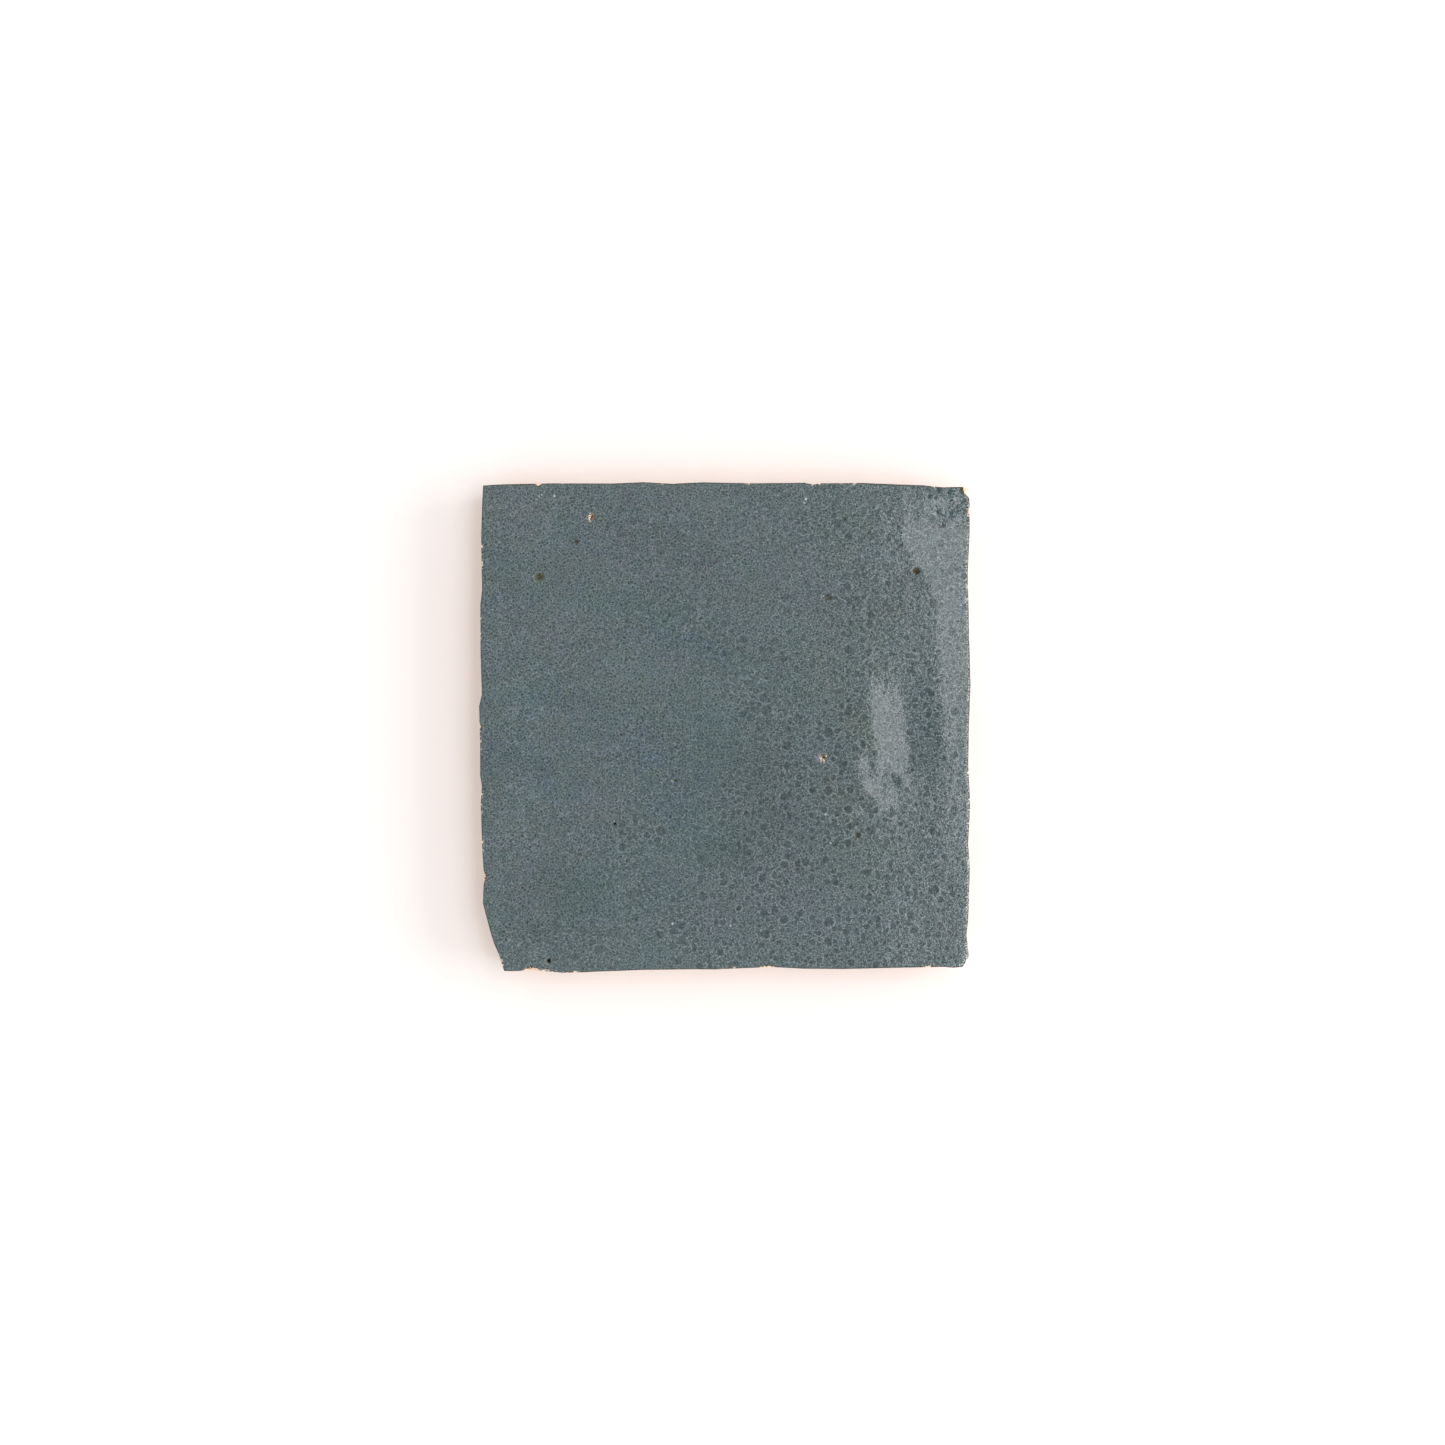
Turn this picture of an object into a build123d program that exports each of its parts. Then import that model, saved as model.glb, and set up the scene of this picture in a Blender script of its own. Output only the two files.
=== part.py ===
from build123d import *
import os
from math import cos, exp, pi, radians, sin

# One hand-cut zellige tile, lying on its unglazed back with the glazed face up.
# X runs along its width, Y along its length and Z up through its thickness.
# The origin is on the back, under the middle of the outline.

# Driving sizes, in millimetres
width = 100.0  # between the mean lines of the left and right sides
length = 99.5  # between the mean lines of the near and far sides
thickness = 11.5  # back to the general level of the glazed face
land = 3.0  # upright strip of each side, under the glaze
undercut = 1.7  # how far the back stands in from the glazed edge
strike = 0.4  # how far the chisel's facets vary on the undercut
facet = 17.0  # length along a side over which that varying comes round again
stray = 0.4  # one unit of the hand-cut outline's wandering
break_rise = 13.0  # the broken corner, along the left side
break_run = 4.6  # the broken corner, along the near side
crumble_rise = 3.0  # the crumbled corner, along the right side
crumble_run = 1.5  # the crumbled corner, along the near side

# The glazed face's swells, and the roll of the glaze towards its edges
swell = 0.3  # height of one unit of swell
edge_roll = 0.45  # drop of the glaze at the far, near and left edges
edge_reach = 7.0  # how far in from those edges the glaze starts to drop
lee_slope = 0.12  # fall of the glaze towards the right edge, for each millimetre
lee_reach = 15.0  # the furthest in from the right edge that this fall starts
onset = 2.0  # one unit of the breadth over which a slope sets in
ridge_slope = 0.1  # one unit of slope of the ridge and the hollow before the right edge
ridge_lean = 0.1  # how far they lean to the right, for each millimetre towards the near side

# Flakes struck off the glazed edge, and pits left by bubbles in the glaze
flake_slope = 32.0  # degrees between a flake's floor and the glazed face
flake_breadth = 3.0  # one unit of a flake's breadth along the edge
flake_bite = 0.5  # one unit of a flake's bite into the face
pit_across = 1.6  # mouth of a pit of size 1
pit_depth = 0.35  # depth of a pit of size 1

# Room for the cut that shapes the glazed face
headroom = 4.0  # stock left above the glaze at first
face_margin = 2.0  # how far the cut reaches past the outline
face_spans = 26  # spans of the cut's wavy surface, each way

up = Vector(0, 0, 1)
far_left = Vector(-width / 2, length / 2)
near_left = Vector(-width / 2, -length / 2)
near_right = Vector(width / 2, -length / 2)
far_right = Vector(width / 2, length / 2)

# Each side has its two nominal corners and its stations, in the order of travel:
# the place as a share of the side, and the stray outward in units.
sides = {
    "left": (far_left, near_left, [
        (0.004, -0.95), (0.045, -0.50), (0.117, 0.00), (0.220, -0.50), (0.249, 0.40),
        (0.352, 0.30), (0.434, -0.40), (0.459, 1.12), (0.537, 0.50), (0.603, 0.50),
        (0.624, -0.40), (0.661, 0.20), (0.756, -0.62), (0.805, -1.45), (0.865, -0.92)]),
    "near": (near_left, near_right, [
        (0.047, 1.02), (0.066, 1.12), (0.105, 0.62), (0.126, 0.98), (0.167, 1.88),
        (0.208, 1.70), (0.249, 1.22), (0.331, 0.45), (0.434, 0.10), (0.475, 0.25),
        (0.516, -0.25), (0.598, -1.02), (0.659, -0.20), (0.741, 0.00), (0.844, -0.62),
        (0.946, -1.12), (0.967, -0.68)]),
    "right": (near_right, far_right, [
        (0.071, -1.42), (0.092, -0.68), (0.133, -0.20), (0.215, 0.35), (0.257, -0.58),
        (0.339, 0.58), (0.421, -0.50), (0.504, -0.15), (0.586, 0.72), (0.689, 0.05),
        (0.751, -0.25), (0.813, -0.68), (0.895, 0.40), (0.955, 0.45), (0.990, -0.30)]),
    "far": (far_right, far_left, [
        (0.008, -1.60), (0.054, -1.95), (0.095, -0.88), (0.136, -0.58), (0.218, 0.30),
        (0.305, 0.10), (0.320, -0.60), (0.336, 0.40), (0.443, 0.10), (0.546, 0.62),
        (0.607, -0.10), (0.669, 0.68), (0.730, 0.00), (0.854, 0.10), (0.956, -0.40)]),
}

# The broken corner's edge, in shares of its run and its rise
break_stations = [(0.21, 0.860), (0.45, 0.545), (0.60, 0.386), (0.80, 0.230), (0.93, 0.070)]

# The crumbled corner's edge, in shares of its run and its rise
crumble_stations = [(0.90, 0.14), (0.50, 0.45), (0.45, 0.65), (0.12, 0.76), (0.07, 1.00)]

# Swells of the glazed face: the place from the middle and the reach, each as a share
# of the width and of the length, and the height in units.
swells = [
    (-0.34, 0.30, 0.17, 0.19, 0.7),
    (-0.16, -0.06, 0.15, 0.21, -0.9),
    (0.08, 0.24, 0.19, 0.14, 0.8),
    (-0.30, -0.33, 0.18, 0.12, 0.6),
    (0.10, -0.30, 0.20, 0.13, -0.6),
    (0.24, -0.13, 0.09, 0.08, 0.8),
    (0.30, 0.40, 0.10, 0.08, 0.3),
]

# The fall towards the right edge: places along the length, as shares from the middle, with
# how far in it starts, as a share of its reach, and how steep it is, as a share of its slope
lee_starts = [
    (-0.50, 0.43), (-0.10, 0.40), (0.10, 0.43), (0.22, 0.51), (0.28, 0.57), (0.35, 0.91), (0.50, 1.00)]
lee_shares = [
    (-0.50, 0.04), (-0.30, 0.12), (-0.12, 0.22), (0.00, 0.36), (0.08, 0.55), (0.18, 0.90), (0.42, 0.95),
    (0.49, 0.40)]

# The ridge and the hollow before that fall: where each change of slope starts, as a share of
# the width from the middle, the breadth over which it sets in and the slope, in units
ridge = [(0.120, 1.5, 0.2), (0.292, 0.9, -1.1), (0.363, 0.8, 1.4), (0.432, 1.0, -0.5)]

# How high they stand: places along the length, as shares from the middle, with shares of it
ridge_shares = [(-0.135, 0.0), (-0.045, 1.0), (0.045, 1.0), (0.125, 0.0)]

# Flakes: the side, the place along it, the turn from straight out of the side in degrees,
# and the breadth and the bite in units.
flakes = [
    ("near", 0.105, 0, 1.4, 1.3),
    ("near", 0.587, 0, 1.5, 1.0),
    ("far", 0.882, 0, 0.7, 1.1),
    ("right", 0.998, 0, 1.9, 2.2),
    ("left", 0.504, 0, 1.0, 0.8),
    ("left", 0.809, 0, 1.1, 1.0),
    ("right", 0.085, 0, 1.1, 0.9),
    ("right", 0.680, 0, 0.6, 0.8),
    ("right", 0.787, 0, 0.6, 0.8),
    ("right", 0.938, 0, 0.9, 0.9),
]

# Pits: the place from the middle as shares of width and length, and the size
pits = [
    (-0.274, 0.430, 1.00),
    (-0.380, 0.307, 1.00),
    (0.392, 0.319, 1.00),
    (0.212, 0.266, 0.80),
    (0.201, -0.064, 1.10),
    (0.272, -0.224, 0.75),
    (-0.296, -0.340, 0.70),
    (-0.361, -0.483, 0.70),
    (-0.101, -0.112, 0.50),
    (-0.226, -0.200, 0.35),
    (0.446, 0.414, 0.50),
]


# A point of a side and the direction straight out of it
def edge_point(side, share, units):
    start, end, _ = sides[side]
    run = end - start
    outward = Vector(run.Y, -run.X).normalized()
    return start + run * share + outward * (units * stray), outward


# How far a side strays at any place, on the straight line between its stations
def stray_at(side, share):
    stations = sides[side][2]
    for (low, low_units), (high, high_units) in zip(stations, stations[1:]):
        if low <= share <= high:
            return low_units + (high_units - low_units) * (share - low) / (high - low)
    return stations[0][1] if share < stations[0][0] else stations[-1][1]


# The glazed edge all round, with its broken corner and its crumbled corner
def outline_points():
    points = []
    for side in sides:
        for share, units in sides[side][2]:
            points.append(edge_point(side, share, units)[0])
        if side == "left":
            for run, rise in break_stations:
                points.append(near_left + Vector(break_run * run, break_rise * rise))
        if side == "near":
            for run, rise in crumble_stations:
                points.append(near_right + Vector(-crumble_run * run, crumble_rise * rise))
    return points


# The outline at one height, drawn in from the glazed edge, more or less as the facets vary
def section(points, height, inset, vary):
    corners = []
    travelled = 0
    last = points[0]
    for point in points:
        travelled += (point - last).length
        last = point
        drawn_in = inset + vary * sin(2 * pi * travelled / facet)
        x = point.X * (1 - 2 * drawn_in / width)
        y = point.Y * (1 - 2 * drawn_in / length)
        corners.append((x, y, height))
    return make_face(Polyline(*corners, close=True))


# Value at any place, eased between its stations so that it has no corners
def between(stations, place):
    if place <= stations[0][0]:
        return stations[0][1]
    for (low, first), (high, second) in zip(stations, stations[1:]):
        if place < high:
            share = (place - low) / (high - low)
            return first + (second - first) * share ** 2 * (3 - 2 * share)
    return stations[-1][1]


# Length that a slope of 1 has risen by, when it sets in smoothly over a breadth
def ramp(past_start, breadth):
    share = min(1.0, max(0.0, past_start / breadth))
    return breadth * (share ** 3 - share ** 4 / 2) + max(0.0, past_start - breadth)


# Height of the glazed face over the back
def glaze_height(x, y):
    height = thickness
    for place_x, place_y, reach_x, reach_y, units in swells:
        away_x = (x / width - place_x) / reach_x
        away_y = (y / length - place_y) / reach_y
        height += swell * units * exp(-away_x ** 2 - away_y ** 2)
    for from_edge in (width / 2 + x, length / 2 + y, length / 2 - y):
        height -= edge_roll * max(0.0, 1 - from_edge / edge_reach) ** 2
    along = y / length
    for start, breadth, slope in ridge:
        past_start = x + ridge_lean * y - start * width
        height += ridge_slope * slope * between(ridge_shares, along) * ramp(past_start, onset * breadth)
    past_start = x - width / 2 + lee_reach * between(lee_starts, along)
    return height - lee_slope * between(lee_shares, along) * ramp(past_start, onset)


# Everything above the glazed face, which is cut away
def stock_over_glaze():
    rows = []
    for row in range(face_spans + 1):
        y = (row / face_spans - 0.5) * (length + 2 * face_margin)
        points = []
        for column in range(face_spans + 1):
            x = (column / face_spans - 0.5) * (width + 2 * face_margin)
            points.append(Vector(x, y, glaze_height(x, y)))
        rows.append(points)
    face = Face.make_surface_from_array_of_points(rows, tol=0.02, min_deg=3, max_deg=3)
    return Solid.extrude(face, up * (2 * headroom))


# A shell-shaped flake, struck off the glazed edge and running out of the side
def flake(side, share, turn, breadth, bite):
    edge, outward = edge_point(side, share, stray_at(side, share))
    outward = outward.rotate(Axis.Z, turn)
    edge = edge + up * glaze_height(edge.X, edge.Y)
    slope = radians(flake_slope)
    sag = flake_bite * bite * sin(slope)
    half = flake_breadth * breadth / 2
    radius = (half ** 2 + sag ** 2) / (2 * sag)
    lean = outward * sin(slope) + up * cos(slope)
    fall = outward * cos(slope) - up * sin(slope)
    return Plane(origin=edge + lean * (radius - sag), z_dir=fall) * Cylinder(radius, 2 * land)


# A pit where a bubble burst: the ball is turned so that its poles lie clear of the glaze
def pit(place_x, place_y, size):
    half = pit_across * size / 2
    depth = pit_depth * size
    radius = (half ** 2 + depth ** 2) / (2 * depth)
    x = place_x * width
    y = place_y * length
    return Pos(x, y, glaze_height(x, y) + radius - depth) * Rot(90, 0, 0) * Sphere(radius)


# The whole tile, fired as one piece
def zellige_tile():
    points = outline_points()
    back = section(points, 0, undercut, strike)
    waist = section(points, thickness - land, 0, 0)
    top = section(points, thickness + headroom, 0, 0)
    tile = loft([back, waist, top], ruled=True)
    tile -= stock_over_glaze()
    for values in flakes:
        tile -= flake(*values)
    for values in pits:
        tile -= pit(*values)
    box = tile.bounding_box()
    return Pos(-box.center().X, -box.center().Y, -box.min.Z) * tile


os.makedirs("parts", exist_ok=True)
tile = zellige_tile()
tile.label = "zellige_tile"
export_step(tile, "parts/zellige_tile.step")
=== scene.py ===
from math import cos, exp, hypot, pi, radians, sin

import bmesh
import bpy
from mathutils import Matrix, Vector, noise
from mathutils.bvhtree import BVHTree


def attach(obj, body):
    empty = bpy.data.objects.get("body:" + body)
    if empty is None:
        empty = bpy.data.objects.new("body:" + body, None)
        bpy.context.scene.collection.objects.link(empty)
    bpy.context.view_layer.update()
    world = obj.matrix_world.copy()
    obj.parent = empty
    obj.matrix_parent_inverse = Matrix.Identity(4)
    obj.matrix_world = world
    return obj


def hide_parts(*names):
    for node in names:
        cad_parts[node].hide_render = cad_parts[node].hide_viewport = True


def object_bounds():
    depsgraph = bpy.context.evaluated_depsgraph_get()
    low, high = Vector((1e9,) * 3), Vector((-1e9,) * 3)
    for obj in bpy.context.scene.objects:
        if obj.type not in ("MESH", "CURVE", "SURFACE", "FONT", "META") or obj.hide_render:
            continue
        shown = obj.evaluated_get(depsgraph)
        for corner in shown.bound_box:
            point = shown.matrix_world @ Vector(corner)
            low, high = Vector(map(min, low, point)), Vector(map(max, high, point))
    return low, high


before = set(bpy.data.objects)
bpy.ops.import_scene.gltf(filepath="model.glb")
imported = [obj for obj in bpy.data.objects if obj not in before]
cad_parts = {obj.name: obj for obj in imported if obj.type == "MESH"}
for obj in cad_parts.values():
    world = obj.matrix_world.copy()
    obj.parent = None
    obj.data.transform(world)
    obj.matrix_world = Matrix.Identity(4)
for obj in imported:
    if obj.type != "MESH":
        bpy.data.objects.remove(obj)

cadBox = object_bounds()
mm = 0.001  # metres in a millimetre
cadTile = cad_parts["zellige_tile"]
print("frame loaded")


# Shader maths: a wire is a socket that takes Python's operators

class Wire:
    def __init__(self, sheet, socket):
        self.sheet = sheet
        self.socket = socket

    def maths(self, operation, left, right=0.0):
        return self.sheet.add("ShaderNodeMath", {"operation": operation}, {0: left, 1: right})

    def __add__(self, other):
        return self.maths("ADD", self, other)

    def __sub__(self, other):
        return self.maths("SUBTRACT", self, other)

    def __rsub__(self, other):
        return self.maths("SUBTRACT", other, self)

    def __mul__(self, other):
        return self.maths("MULTIPLY", self, other)

    def __truediv__(self, other):
        return self.maths("DIVIDE", self, other)

    def most(self, other):
        return self.maths("MAXIMUM", self, other)

    __radd__ = __add__
    __rmul__ = __mul__


class Sheet:
    def __init__(self, owner):
        owner.use_nodes = True
        self.owner = owner
        self.tree = owner.node_tree
        self.tree.nodes.clear()

    # one node of any type: settings first, then the values or wires of its sockets
    def add(self, kind, settings, inputs, out=0):
        node = self.tree.nodes.new(kind)
        for name, value in settings.items():
            setattr(node, name, value)
        for name, value in inputs.items():
            if isinstance(value, Wire):
                self.tree.links.new(value.socket, node.inputs[name])
            elif isinstance(value, tuple) and len(node.inputs[name].default_value) == 4:
                node.inputs[name].default_value = (*value, 1.0)
            else:
                node.inputs[name].default_value = value
        return Wire(self, node.outputs[out]) if len(node.outputs) else node

    # 0 below low, 1 above high, and smooth between
    def rise(self, wire, low, high):
        settings = {"interpolation_type": "SMOOTHSTEP"}
        return self.add("ShaderNodeMapRange", settings, {0: wire, 1: low, 2: high})

    def blend(self, factor, first, second):
        return self.add("ShaderNodeMix", {"data_type": "RGBA"}, {0: factor, 6: first, 7: second}, 2)

    # colours and places, taken part by part
    def parts(self, operation, *vectors):
        return self.add("ShaderNodeVectorMath", {"operation": operation}, dict(enumerate(vectors)))

    def scaled(self, vector, amount):
        return self.add("ShaderNodeVectorMath", {"operation": "SCALE"}, {0: vector, "Scale": amount})

    # one number of a place or a colour: 0 is across, 1 is along and 2 is up
    def axis(self, vector, number):
        return self.add("ShaderNodeSeparateXYZ", {}, {0: vector}, number)

    def grain(self, place, size, detail=2.0, rough=0.5, out=0):
        inputs = {"Vector": place, "Scale": 1 / size, "Detail": detail, "Roughness": rough}
        return self.add("ShaderNodeTexNoise", {}, inputs, out)

    # distance in millimetres from the nearest edge between cells
    def net(self, place, size):
        settings = {"voronoi_dimensions": "3D", "feature": "DISTANCE_TO_EDGE"}
        return self.add("ShaderNodeTexVoronoi", settings, {"Vector": place, "Scale": 1 / size}) * size

    # distance in millimetres from the middle of the nearest cell, and a random number for the cell
    def dots(self, place, size):
        settings = {"voronoi_dimensions": "2D", "feature": "F1"}
        away = self.add("ShaderNodeTexVoronoi", settings, {"Vector": place, "Scale": 1 / size})
        luck = Wire(self, away.socket.node.outputs[1])
        return away * size, self.axis(luck, 0)

    def attribute(self, name, out=2):
        return self.add("ShaderNodeAttribute", {"attribute_name": name}, {}, out)


def linear(channel):
    share = channel / 255
    return share / 12.92 if share <= 0.04045 else ((share + 0.055) / 1.055) ** 2.4


def paint(red, green, blue):
    return (linear(red), linear(green), linear(blue))


def smooth(value, low, high):
    share = min(1.0, max(0.0, (value - low) / (high - low)))
    return share * share * (3 - 2 * share)


# A soft round rise at a place
def mound(x, y, placeX, placeY, reachX, reachY, rise):
    return rise * exp(-((x - placeX) / reachX) ** 2 - ((y - placeY) / reachY) ** 2)


# Noise over the face, so many grains to the millimetre
def grainAt(x, y, perMm, seed):
    return noise.noise(Vector((x * perMm, y * perMm, seed)))


# Camera: straight above the tile, with a long lens

view = {
    "pixels": 1445,
    "mmPerPixel": 0.2047,  # at the top of the glazed face
    "tileAcross": 724.75,  # where the middle of the tile stands in the picture
    "tileDown": 727.45,
    "lens": 110.0,
    "sensor": 36.0,
    "clipEnd": 20.0,  # metres
}


def makeCamera():
    data = bpy.data.cameras.new("camera")
    data.lens = view["lens"]
    data.sensor_width = view["sensor"]
    camera = bpy.data.objects.new("camera", data)
    bpy.context.scene.collection.objects.link(camera)
    frameWidth = view["pixels"] * view["mmPerPixel"] * mm
    middle = view["pixels"] / 2
    across = (middle - view["tileAcross"]) * view["mmPerPixel"] * mm
    down = (view["tileDown"] - middle) * view["mmPerPixel"] * mm
    height = cadBox[1][2] + frameWidth * view["lens"] / view["sensor"]
    camera.location = (across, down, height)
    data.clip_end = view["clipEnd"]
    bpy.context.scene.camera = camera
    print("camera at", [round(value, 4) for value in camera.location])


# The tile

tile = {
    "cells": 220,  # cells of the glazed face, each way
    "backCells": 100,  # fewer on the back
    "crowd": 0.008,  # how much the cells crowd towards the rim
    "crowdPower": 41,
    "fitBand": 0.26,  # outer share of the face that follows the outline
    "splitBand": 0.8,  # mm in from the rim where each cell is split in four
    "rimZone": 40.0,  # mm from the middle, beyond which the way in from the rim is measured
    "wellInside": 9.0,  # mm, what stands for it within
    "wallLevel": 9.0,  # mm, where the upright strip under the glaze is read
    "wallRings": [0.012, 0.030, 0.055, 0.09, 0.14, 0.21, 0.30, 0.42, 0.56, 0.70, 0.85, 1.0],
    "rimRound": 0.28,  # mm in from the rim where the glaze starts to turn over
    "rimDrop": 0.12,  # mm it falls there
    "nick": 0.06,  # mm, the deepest of the rim's small nicks
    "crumb": 0.16,  # mm, relief of the bare clay
    "flakeBand": 1.6,  # mm in from the rim where flakes are looked for
    "above": 30.0,  # mm, from where
    "flakeLean": (0.35, 0.95),  # a flake's floor leans more than the glaze and less than the walls
    "flakeRough": 0.06,  # mm, relief of its floor
    "glazeDepth": 0.1,  # mm, how thick the glaze shows at a flake's edge
    "backInset": 0.988,  # the flat back against the walls' foot
}

# The glazed face, as in the CAD, in mm
face = {
    "width": 100.0,
    "length": 99.5,
    "across": 0.08,  # from the middle of the box to the face's own middle
    "along": 0.24,
    "thickness": 11.5,
    "edgeRoll": 0.45,  # how far the face falls at the left, near and far edges
    "edgeReach": 7.0,
    "swells": [  # place, reach, height
        (-34.0, 30.0, 17.0, 19.0, 0.21),
        (-16.0, -6.0, 15.0, 21.0, -0.27),
        (8.0, 24.0, 19.0, 14.0, 0.24),
        (-30.0, -33.0, 18.0, 12.0, 0.18),
        (10.0, -30.0, 20.0, 13.0, -0.18),
        (24.0, -13.0, 9.0, 8.0, 0.25),
        (30.0, 40.0, 10.0, 8.0, 0.10),
    ],
    "leeSlope": 0.12,  # the right side's fall, from a line that wanders
    "leeSoft": 2.0,
    "leeStart": [  # place along the side, and how far across the fall starts there
        (-50.0, 43.5), (-10.0, 44.0), (10.0, 43.6), (22.0, 42.4), (28.0, 41.8),
        (35.0, 37.5), (39.0, 35.7), (44.0, 36.2), (50.0, 36.2),
    ],
    "leeShare": [  # place along the side, and the share of its slope there
        (-50.0, 0.04), (-30.0, 0.12), (-12.0, 0.22), (0.0, 0.36),
        (8.0, 0.55), (18.0, 0.9), (42.0, 0.95), (49.0, 0.4),
    ],
    "hump": [  # the bump before it: where each slope starts, how softly, and how much it adds
        (12.0, 3.0, 0.02),
        (29.2, 1.8, -0.11),
        (36.3, 1.6, 0.14),
        (43.2, 2.0, -0.05),
    ],
    "humpAlong": [(-13.5, 0.0), (-4.5, 1.0), (4.5, 1.0), (12.5, 0.0)],
    "humpLean": 0.10,
    "knolls": [  # small rises too fine for the CAD: place, reach, height
        (26.4, -7.6, 1.9, 1.7, 0.25),
        (28.1, -12.6, 2.4, 2.3, 0.33),
        (31.4, -15.9, 2.6, 1.7, 0.29),
        (36.4, -11.4, 1.3, 1.2, 0.13),
        (26.0, -17.3, 1.9, 1.3, 0.16),
        (43.2, 7.5, 2.2, 3.4, 0.10),
        (43.4, -0.8, 2.0, 2.2, 0.12),
        (44.6, -12.5, 3.2, 12.0, 0.04),
    ],
    "ripple": 0.022,  # height of the fine unevenness
    "lively": [  # where there is more of it: place, reach and how much more
        (33.0, -8.0, 7.0, 12.0, 1.5),
        (29.0, -15.0, 6.0, 5.0, 1.2),
    ],
}

# Pits and spots of the glaze: place, radius and depth in mm, what shows there, and the turn of its pale side,
# the wall that faces the light and is painted paler
pits = [
    (-27.3, 43.1, 0.95, 0.25, "crater", 0),
    (-37.9, 30.8, 1.25, 0.30, "olive", 0),
    (39.3, 32.0, 0.92, 0.35, "rusty", 0),
    (21.2, 26.7, 1.00, 0.20, "dull", 0),
    (19.5, -6.1, 1.45, 0.0, "halo", 0),
    (20.2, -6.2, 0.95, 0.30, "crater", 50),
    (27.3, -22.0, 0.72, 0.25, "dark", 0),
    (-29.5, -33.6, 0.60, 0.12, "faint", 0),
    (-36.0, -47.8, 0.58, 0.30, "pinhole", 0),
    (-10.05, -10.9, 0.60, 0.15, "green", 0),
    (-22.5, -19.7, 0.30, 0.12, "black", 0),
    (44.7, 41.4, 0.50, 0.12, "umber", 0),
    (-30.3, 38.1, 0.65, 0.0, "umber", 0),
    (33.5, 38.4, 0.80, 0.0, "faint", 0),
    (24.6, 42.7, 0.50, 0.0, "dull", 0),
    (10.7, 28.3, 0.45, 0.0, "faint", 0),
    # painted highlights: two white glints
    (20.8, -5.9, 0.20, 0.0, "paintedGlint", 0),
    (20.2, 26.9, 0.18, 0.0, "paintedGlint", 0),
    (-38.5, 46.8, 0.20, 0.0, "speck", 0),
    (-38.0, 47.3, 0.20, 0.0, "speck", 0),
    (-37.5, 47.7, 0.20, 0.0, "speck", 0),
    (-37.0, 48.2, 0.20, 0.0, "speck", 0),
    (-36.8, 48.7, 0.20, 0.0, "speck", 0),
    # these two white specks are painted glints
    (-10.7, -40.2, 0.28, 0.0, "speck", 0),
    (1.2, -40.6, 0.26, 0.0, "speck", 0),
    (20.7, -17.8, 0.28, 0.0, "speck", 0),
    (21.7, -23.7, 0.24, 0.0, "speck", 0),
    (-34.9, 47.4, 0.28, 0.0, "speck", 0),
    (16.6, 46.8, 0.34, 0.0, "speck", 0),
    (16.3, 46.0, 0.24, 0.0, "speck", 0),
    (48.7, 48.7, 0.60, 0.0, "olive", 0),
    (49.6, 46.5, 0.25, 0.0, "pinhole", 0),
    (49.7, 45.1, 0.28, 0.0, "pinhole", 0),
    (49.5, 44.2, 0.20, 0.0, "pinhole", 0),
]


# Value at a place between stations, with no corners
def between(stations, place):
    if place <= stations[0][0]:
        return stations[0][1]
    for (low, first), (high, second) in zip(stations, stations[1:]):
        if place < high:
            return first + (second - first) * smooth(place, low, high)
    return stations[-1][1]


# Length of a slope that starts softly
def ramp(away, soft):
    share = min(1.0, max(0.0, away / soft))
    return soft * (share ** 3 - share ** 4 / 2) + max(0.0, away - soft)


def faceHeight(x, y):
    x = x - face["across"]
    y = y - face["along"]
    height = face["thickness"]
    height += sum(mound(x, y, *swell) for swell in face["swells"])
    for fromEdge in (face["width"] / 2 + x, face["length"] / 2 + y, face["length"] / 2 - y):
        height -= face["edgeRoll"] * max(0.0, 1 - fromEdge / face["edgeReach"]) ** 2
    lean = x + face["humpLean"] * y
    hump = sum(slope * ramp(lean - start, soft) for start, soft, slope in face["hump"])
    height += hump * between(face["humpAlong"], y)
    height += sum(mound(x, y, *knoll) for knoll in face["knolls"])
    wander = 0.6 * noise.noise(Vector((3.0, y * 0.28, 1.0))) + 0.4 * noise.noise(Vector((8.0, y * 0.9, 1.0)))
    lee = ramp(x - between(face["leeStart"], y) + wander, face["leeSoft"])
    return height - face["leeSlope"] * between(face["leeShare"], y) * lee


# Fine unevenness, in mm, livelier to the right and below
def faceRipple(x, y):
    lively = 0.4 + 0.6 * smooth(x - 0.6 * y, -30, 60)
    lively += sum(mound(x, y, *place) for place in face["lively"])
    lively += smooth(x, 29, 38) * (0.6 + 1.2 * smooth(y, 26, 38))
    fine = lively * face["ripple"] * noise.noise(Vector((x * 0.45, y * 0.34, 5.0)))
    broad = 0.04 * noise.noise(Vector((x * 0.11, y * 0.08, 2.2)))
    # sharper towards the right side, and most at its far end
    sharp = smooth(x, 22, 36) * (0.016 + 0.05 * smooth(y, 41, 46))
    return broad + fine + sharp * noise.noise(Vector((x * 0.9, y * 0.75, 7.0)))


def pitDepth(x, y):
    for placeX, placeY, radius, depth, *_ in pits:
        away = hypot(x - placeX, y - placeY) / radius
        if depth and away < 1.4:
            ragged = 0.7 * grainAt(x, y, 2.4, 9.0)
            return depth * (1 - smooth(away + ragged, 0.2, 1.0))
    return 0.0


def cadTree():
    cad = bmesh.new()
    cad.from_mesh(cadTile.data)
    bmesh.ops.scale(cad, vec=(1 / mm, 1 / mm, 1 / mm), verts=cad.verts)
    tree = BVHTree.FromBMesh(cad)
    cad.free()
    return tree


# Distance from the middle to the CAD's side, at a height and in a direction
def reachAt(tree, place, height):
    hit = tree.ray_cast(Vector((0, 0, height)), Vector((place.x, place.y, 0)).normalized())[0]
    return hit.xy.length


# Distance straight in from the rim
def fromRim(tree, place):
    gap = reachAt(tree, place, tile["wallLevel"]) - place.xy.length
    return gap * max(abs(place.x), abs(place.y)) / place.xy.length


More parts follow.
